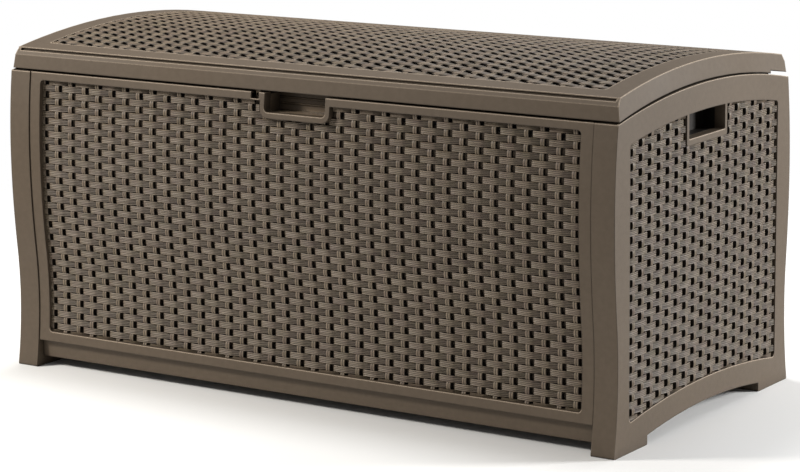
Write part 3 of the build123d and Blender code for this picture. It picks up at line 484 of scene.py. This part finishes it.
# ---- Materials ----
def moulded_resin(name, colour, pale, roughness=0.5, grain=0.35, edge_radius=0.0016,
                  shade_reach=0.012, shade=(0.38, 0.05)):
    """Moulded plastic: a fine spark-eroded grain, faint flow marks, and painted shade in seams and crevices.

    Edges that face up get a painted highlight in the pale colour, and upright edges a thin painted shade
    line. shade gives the openness at which the painted crevice shade starts and the openness at which it is
    darkest.
    """
    material, shader = new_material(name, colour, roughness)
    place = object_place(material)
    flow = noise(material, place, scale=5.0, detail=4.0, stretch=(1, 1, 0.35))
    mottle = noise(material, place, scale=90.0, detail=2.0)
    fine = noise(material, place, scale=1400.0, detail=2.0)
    free = openness(material, shade_reach)
    edge, up = edge_masks(material, 2.5 * edge_radius)
    # Near black: the painted shade for crevices, seams, recesses and upright edges.
    painted_shade = tinted(colour, 0.05)
    base = mix_colour(material, remap(material, flow, (0.3, 0.7), (0, 1)), tinted(colour, 0.95),
                      tinted(colour, 1.04))
    base = mix_colour(material, remap(material, mottle, (0.35, 0.65), (0, 0.025)), base, pale)
    # Painted highlight: open, sharp edges that face up are mixed towards the pale colour, as if lit from
    # above.
    highlight_edge = times(material, edge, remap(material, free, (0.50, 0.75), (0, 1)))
    base = mix_colour(material, times(material, highlight_edge, remap(material, up, (0.1, 0.4), (0, 1))), base, pale)
    # Painted shade: sharp edges that stand upright are darkened into a thin line.
    base = mix_colour(material, times(material, edge, remap(material, up, (0.15, 0.0), (0, 0.3))), base, painted_shade)
    # Painted shade: surfaces darken towards near black where the ambient occlusion finds them shut in.
    base = mix_colour(material, remap(material, free, shade, (0, 0.95)), base, painted_shade)
    link(material, base, shader.inputs["Base Color"])
    rough = remap(material, flow, (0.3, 0.7), (roughness - 0.05, roughness + 0.07))
    link(material, rough, shader.inputs["Roughness"])
    rounded_normal(material, shader, fine, 0.0004, grain, edge_radius)
    return material


def reed_resin(name, colour, pale, shade):
    """The woven relief: fine fibre lines along each strand, a tone for each strand, and painted shade from
    the depth attribute in the pockets, on the strands' down-slopes and sides, and in the lines between reeds.
    """
    material, shader = new_material(name, colour, 0.52)
    strand = node(material, "ShaderNodeUVMap", set_uv_map="strand").outputs["UV"]
    fibres = noise(material, strand, scale=60.0, stretch=(0.25, 9.0, 1))
    patches = noise(material, object_place(material), scale=45.0, detail=2.0)
    tone = node(material, "ShaderNodeAttribute", set_attribute_name="tone").outputs["Fac"]
    depth = node(material, "ShaderNodeAttribute", set_attribute_name="depth").outputs["Fac"]
    base = mix_colour(material, remap(material, patches, (0.35, 0.65), (0, 1)), OLIVE, PURPLE)
    base = mix_colour(material, 0.25, base, colour)
    base = mix_colour(material, remap(material, tone, (-2.0, 2.0), (0, 0.42)), base, pale)
    base = mix_colour(material, remap(material, fibres, (0.38, 0.66), (0, 0.85)), base, pale)
    # Painted shade: the depth attribute mixes the colour towards near black.
    base = mix_colour(material, depth, base, shade)
    link(material, base, shader.inputs["Base Color"])
    link(material, remap(material, fibres, (0.3, 0.7), (0.60, 0.45)), shader.inputs["Roughness"])
    rounded_normal(material, shader, fibres, 0.0006, 0.6)
    return material


def metal(name, colour, roughness, streaks):
    """Plated or drawn metal with fine streaks."""
    material, shader = new_material(name, colour, roughness)
    shader.inputs["Metallic"].default_value = 1.0
    place = object_place(material)
    lines = noise(material, place, scale=260.0, stretch=streaks)
    stain = noise(material, place, scale=40.0)
    base = mix_colour(material, remap(material, stain, (0.4, 0.7), (0, 0.5)), colour, tinted(colour, 0.6))
    link(material, base, shader.inputs["Base Color"])
    rough = remap(material, lines, (0.3, 0.7), (roughness - 0.08, roughness + 0.12))
    link(material, rough, shader.inputs["Roughness"])
    rounded_normal(material, shader, lines, 0.0002, 0.25, 0.0004)
    return material


# The frame's painted crevice shade reaches 5 cm, so it also darkens the feet and lower edges near the floor.
FRAME_RESIN = moulded_resin("frame_resin", MOCHA, PALE_AND_HIGHLIGHT, shade_reach=0.050, shade=(0.60, 0.05))
LID_RESIN = moulded_resin("lid_resin", tinted(MOCHA, 1.02), PALE_AND_HIGHLIGHT, roughness=0.62, shade=(0.25, 0.05))
INNER_RESIN = moulded_resin("inner_resin", INNER, MOCHA_PALE, roughness=0.6, grain=0.5, edge_radius=0.001)
# The cup's painted shade reaches 6 cm and darkens the inside of its recess.
CUP_RESIN = moulded_resin("cup_resin", CUP, CUP_PALE, roughness=0.26, grain=0.2, edge_radius=0.001,
                          shade_reach=0.060, shade=(0.58, 0.15))
# The hand-hold is the frame's colour darkened by 0.8 as painted shade, and its painted shade reaches 16 cm so
# that its recess goes dark.
HOLD_RESIN = moulded_resin("hold_resin", tinted(MOCHA, 0.8), MOCHA_PALE, edge_radius=0.001,
                           shade_reach=0.160, shade=(0.92, 0.50))
NYLON = moulded_resin("nylon", NYLON_BLACK, NYLON_PALE, roughness=0.42, grain=0.25, edge_radius=0.0006)
STRAND_RESIN = reed_resin("strand_resin", MOCHA, MOCHA_PALE, MOCHA_SHADE)
# The stakes are the strands' colour lightened by 1.3 as painted light, so that they show bright between the
# strands.
STAKE_RESIN = reed_resin("stake_resin", tinted(MOCHA, 1.3), MOCHA_PALE, MOCHA_SHADE)
STEEL = metal("steel", STEEL_GREY, roughness=0.36, streaks=(1, 1, 1))
POWDER_COAT = moulded_resin("powder_coat", POWDER, MOCHA_PALE, roughness=0.42, grain=0.5, edge_radius=0.0006)
CHROME = metal("chrome", CHROME_GREY, roughness=0.16, streaks=(8, 0.5, 8))
BLACK_TUBE = moulded_resin("black_tube", TUBE_BLACK, TUBE_PALE, roughness=0.3, grain=0.15,
                           edge_radius=0.0006)

NODE_MATERIALS = {
    "screws": STEEL, "hinge_leaf": POWDER_COAT, "hinge_base": POWDER_COAT, "hinge_pin": STEEL,
    "cylinder_socket": NYLON, "rod_socket": NYLON, "stay_cylinder": BLACK_TUBE, "stay_rod": CHROME,
    "stay_base": POWDER_COAT, "stay_lid_bracket": POWDER_COAT, "lock_tab": CUP_RESIN, "pull_cup": CUP_RESIN,
    "hand_hold": HOLD_RESIN, "floor_panel": INNER_RESIN, "lid_liner": INNER_RESIN, "lid_shell": LID_RESIN,
    "side_panel": FRAME_RESIN, "front_panel": FRAME_RESIN, "rear_panel": FRAME_RESIN,
}


def dress_nodes():
    """Gives every CAD node its material: the first entry whose words are in its name."""
    for name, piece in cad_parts.items():
        found = [material for words, material in NODE_MATERIALS.items() if words in name]
        piece.data.materials.clear()
        piece.data.materials.append(found[0])


# ---- The woven fields ----
def front_crest(v):
    """Height of the front and rear weaves over the recess's floor."""
    return np.interp(v, *CREST_HEIGHTS)


def upright_place(node_name, side):
    """Maps (u, v, n) onto the front panel (side -1) or the rear panel (side 1)."""
    find = surface_finder(node_name)
    heights = np.linspace(*UPRIGHT_SPAN, UPRIGHT_SAMPLES)
    floor = [find((UPRIGHT_PROBE_X, side, z), (0, -side, 0)).y for z in heights]

    def place(u, v, n):
        y = np.interp(v, heights, floor) + side * (front_crest(v) + n)
        return np.stack([-side * u, y, v], axis=-1)
    return place


def side_place(node_name, side):
    """Maps (u, v, n) onto the right side panel (side 1) or the left one (side -1)."""
    floor = surface_finder(node_name)((side, *SIDE_PROBE), (-side, 0, 0)).x

    def place(u, v, n):
        return np.stack([floor + side * (SIDE_CREST + n), -u, v], axis=-1)
    return place


def lid_place():
    find = surface_finder("lid_shell")
    depths = np.linspace(*LID_SPAN, LID_SAMPLES)
    floor = [find((LID_PROBE_X, y, 1), (0, 0, -1)).z for y in depths]

    def place(u, v, n):
        return np.stack([u, v, np.interp(v, depths, floor) + LID_CREST + n], axis=-1)
    return place


def straight_field(low, high):
    def limits(u):
        return np.full(len(u), low), np.full(len(u), high)
    return limits


def side_field(u):
    low_rise = SIDE_FIELD["low"] - SIDE_FIELD["low_corner"]
    high_rise = SIDE_FIELD["high"] - SIDE_FIELD["high_corner"]
    low = SIDE_FIELD["low"] - arc_drop(SIDE_FIELD["half_width"], low_rise, u)
    high = SIDE_FIELD["high"] - arc_drop(SIDE_FIELD["half_width"], high_rise, u)
    return low, high


def level(value):
    """A function that gives one value at every place."""
    def at(v):
        return np.full(np.shape(v), value)
    return at


def make_weaves():
    upright = {**FRONT_WEAVE, "half_width": FRONT_FIELD["half_width"], "depth": front_crest}
    front = straight_field(FRONT_FIELD["low"], FRONT_FIELD["high"])
    weave("front_weave", "box", upright_place("front_panel", -1), front, upright, PULL_GAP)
    rear = straight_field(REAR_FIELD["low"], REAR_FIELD["high"])
    weave("rear_weave", "box", upright_place("rear_panel", 1), rear, upright)
    beside = {**SIDE_WEAVE, "half_width": SIDE_FIELD["half_width"], "depth": level(SIDE_DEPTH)}
    for side, name in ((1, "right_side"), (-1, "left_side")):
        weave(name + "_weave", "box", side_place(name + "_panel", side), side_field, beside, HOLD_GAP)
    above = {**LID_WEAVE, "half_width": LID_FIELD["half_width"], "depth": level(LID_DEPTH)}
    lid = straight_field(-LID_FIELD["half_depth"], LID_FIELD["half_depth"])
    weave("lid_weave", "lid", lid_place(), lid, above)


# ---- Stage, lights and camera ----
def make_floor():
    """A pale paper floor that fades into the white surroundings."""
    mesh = bpy.data.meshes.new("floor")
    corners = [(x * FLOOR_REACH, y * FLOOR_REACH, 0) for x, y in ((-1, -1), (1, -1), (1, 1), (-1, 1))]
    mesh.from_pydata(corners, [], [(0, 1, 2, 3)])
    floor = bpy.data.objects.new("floor", mesh)
    bpy.context.scene.collection.objects.link(floor)
    material, shader = new_material("floor_paper", PAPER, 0.9)
    place = object_place(material)
    rounded_normal(material, shader, noise(material, place, scale=300.0), 0.0005, 0.1)
    fade = node(material, "ShaderNodeMapping")
    fade.inputs["Scale"].default_value = (1 / FLOOR_REACH,) * 3
    link(material, place, fade.inputs["Vector"])
    glow = node(material, "ShaderNodeTexGradient", set_gradient_type="SPHERICAL")
    link(material, fade.outputs["Vector"], glow.inputs["Vector"])
    link(material, remap(material, glow.outputs["Fac"], FLOOR_FADE, (0, 1)), shader.inputs["Alpha"])
    mesh.materials.append(material)


def make_surroundings():
    """White where the camera sees it, and dimmer as a light."""
    world = bpy.data.worlds.new("studio")
    world.use_nodes = True
    nodes, links = world.node_tree.nodes, world.node_tree.links
    nodes["Background"].inputs["Color"].default_value = (*WHITE, 1)
    seen = nodes.new("ShaderNodeMapRange")
    seen.inputs["To Min"].default_value = SURROUND_LIGHT
    links.new(nodes.new("ShaderNodeLightPath").outputs["Is Camera Ray"], seen.inputs["Value"])
    links.new(seen.outputs["Result"], nodes["Background"].inputs["Strength"])
    bpy.context.scene.world = world
    bpy.context.scene.view_settings.view_transform = "Standard"


def area_light(name, place, target, size, power, colour):
    lamp = bpy.data.lights.new(name, "AREA")
    lamp.shape = "RECTANGLE"
    lamp.size, lamp.size_y = size
    lamp.energy = power
    lamp.color = colour
    holder = bpy.data.objects.new(name, lamp)
    holder.location = place
    holder.rotation_euler = (Vector(target) - Vector(place)).to_track_quat("-Z", "Y").to_euler()
    bpy.context.scene.collection.objects.link(holder)


def make_camera():
    """At the photograph's viewing angle."""
    back = Vector((math.sin(VIEW_AZIMUTH) * math.cos(VIEW_ELEVATION),
                   -math.cos(VIEW_AZIMUTH) * math.cos(VIEW_ELEVATION), math.sin(VIEW_ELEVATION)))
    right = Vector((math.cos(VIEW_AZIMUTH), math.sin(VIEW_AZIMUTH), 0))
    up = back.cross(right)
    turned_right = math.cos(VIEW_ROLL) * right + math.sin(VIEW_ROLL) * up
    turned_up = math.cos(VIEW_ROLL) * up - math.sin(VIEW_ROLL) * right
    camera = bpy.data.cameras.new("camera")
    camera.lens = VIEW_LENS
    camera.sensor_width = VIEW_SENSOR
    holder = bpy.data.objects.new("camera", camera)
    turn = Matrix((turned_right, turned_up, back)).transposed()
    holder.matrix_world = Matrix.Translation(VIEW_PLACE) @ turn.to_4x4()
    bpy.context.scene.collection.objects.link(holder)
    bpy.context.scene.camera = holder


dress_nodes()
make_weaves()
make_floor()
make_surroundings()
for light_name, light in LIGHTS.items():
    area_light(light_name, *light)
make_camera()
